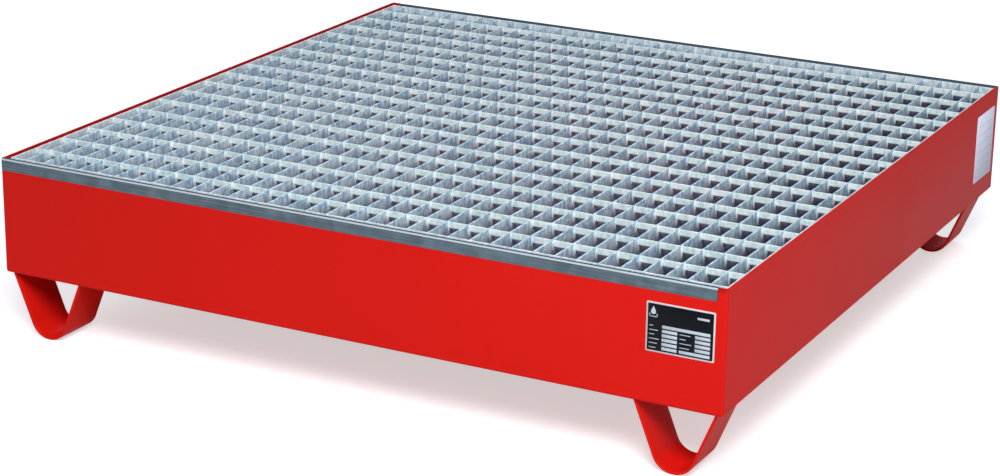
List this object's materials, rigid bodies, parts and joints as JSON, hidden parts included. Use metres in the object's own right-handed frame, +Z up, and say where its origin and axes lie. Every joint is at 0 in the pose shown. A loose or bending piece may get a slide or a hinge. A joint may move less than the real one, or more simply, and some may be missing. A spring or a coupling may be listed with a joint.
{
  "type": "spill containment pallet",
  "caption": "Low square steel sump on bent strip feet, with a lift-off galvanised grating over it, for standing drums and catching what they leak.",
  "frame": {"origin": "on the ground, under the centre of the pallet", "axes": "+Z up; -Y is the front, which has the type plate; +X is to the right along the front"},
  "size_m": [1.2003, 1.2008, 0.285],
  "materials": {
    "powder_coat": "smooth semi-gloss powder coat",
    "grating_zinc": "hot-dip galvanised, bright, with runs and drips",
    "rail_zinc": "galvanised sheet, dull",
    "plate": "printed black with a light border and blank fields",
    "label": "matt film, blank"
  },
  "bodies": {
    "pallet": {"sump_tank": "powder_coat", "tank_seam_welds": "powder_coat", "foot_front_left": "powder_coat", "foot_front_right": "powder_coat", "foot_back_left": "powder_coat", "foot_back_right": "powder_coat", "foot_welds_front_left": "powder_coat", "foot_welds_front_right": "powder_coat", "foot_welds_back_left": "powder_coat", "foot_welds_back_right": "powder_coat", "front_support_rail": "rail_zinc", "back_support_rail": "rail_zinc", "type_plate": "plate", "side_label": "label"},
    "grating": {"bearing_bar_01": "grating_zinc", "bearing_bar_02": "grating_zinc", "bearing_bar_03": "grating_zinc", "bearing_bar_04": "grating_zinc", "bearing_bar_05": "grating_zinc", "bearing_bar_06": "grating_zinc", "bearing_bar_07": "grating_zinc", "bearing_bar_08": "grating_zinc", "bearing_bar_09": "grating_zinc", "bearing_bar_10": "grating_zinc", "bearing_bar_11": "grating_zinc", "bearing_bar_12": "grating_zinc", "bearing_bar_13": "grating_zinc", "bearing_bar_14": "grating_zinc", "bearing_bar_15": "grating_zinc", "bearing_bar_16": "grating_zinc", "bearing_bar_17": "grating_zinc", "bearing_bar_18": "grating_zinc", "bearing_bar_19": "grating_zinc", "bearing_bar_20": "grating_zinc", "bearing_bar_21": "grating_zinc", "bearing_bar_22": "grating_zinc", "bearing_bar_23": "grating_zinc", "bearing_bar_24": "grating_zinc", "bearing_bar_25": "grating_zinc", "bearing_bar_26": "grating_zinc", "bearing_bar_27": "grating_zinc", "bearing_bar_28": "grating_zinc", "bearing_bar_29": "grating_zinc", "bearing_bar_30": "grating_zinc", "bearing_bar_31": "grating_zinc", "bearing_bar_32": "grating_zinc", "bearing_bar_33": "grating_zinc", "bearing_bar_34": "grating_zinc", "bearing_bar_35": "grating_zinc", "cross_bars": "grating_zinc", "edge_bar_front": "grating_zinc", "edge_bar_back": "grating_zinc", "edge_bar_left": "grating_zinc", "edge_bar_right": "grating_zinc"}
  },
  "joints": [
    {"name": "grating_lift", "type": "slide", "parent": "pallet", "child": "grating", "axis": [0, 0, 1], "range_m": [0, 0.3]}
  ]
}
